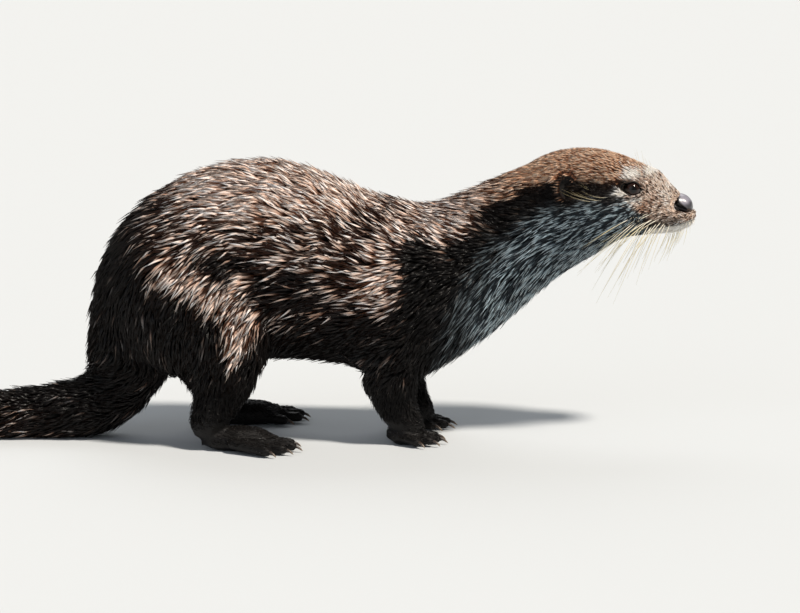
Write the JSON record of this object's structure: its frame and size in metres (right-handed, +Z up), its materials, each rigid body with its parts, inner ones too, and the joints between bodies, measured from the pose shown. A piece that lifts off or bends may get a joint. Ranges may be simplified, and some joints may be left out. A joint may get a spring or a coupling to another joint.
{
  "type": "river otter",
  "caption": "River otter standing on all fours with arched back, raised neck, closed mouth and long tapering tail laid on the ground behind it.",
  "frame": {"origin": "on the ground under the middle of the whole model", "axes": "+X towards the nose, +Y to the otter's left, +Z up"},
  "size_m": [0.874, 0.2348, 0.2635],
  "materials": {
    "coat": "wet brown guard hair in pointed locks with pale tips",
    "throat": "short pale grey-cream fur of chin, throat and lips",
    "skin": "dark, damp, nearly bare skin of paws and ears",
    "nose_leather": "moist black pebbled nose pad",
    "eye": "wet, glossy, almost black brown"
  },
  "bodies": {
    "root": {"head": "coat", "lower_jaw": "throat", "nose": "nose_leather", "neck": "coat", "chest": "coat", "loin": "coat", "rump": "coat", "tail_root": "coat", "tail_middle": "coat", "tail_tip": "coat", "eye_right": "eye", "ear_right": "skin", "upper_arm_right": "coat", "forearm_right": "coat", "forepaw_right": "skin", "thigh_right": "coat", "shank_right": "coat", "hind_foot_right": "skin", "eye_left": "eye", "ear_left": "skin", "upper_arm_left": "coat", "forearm_left": "coat", "forepaw_left": "skin", "thigh_left": "coat", "shank_left": "coat", "hind_foot_left": "skin"}
  },
  "joints": []
}
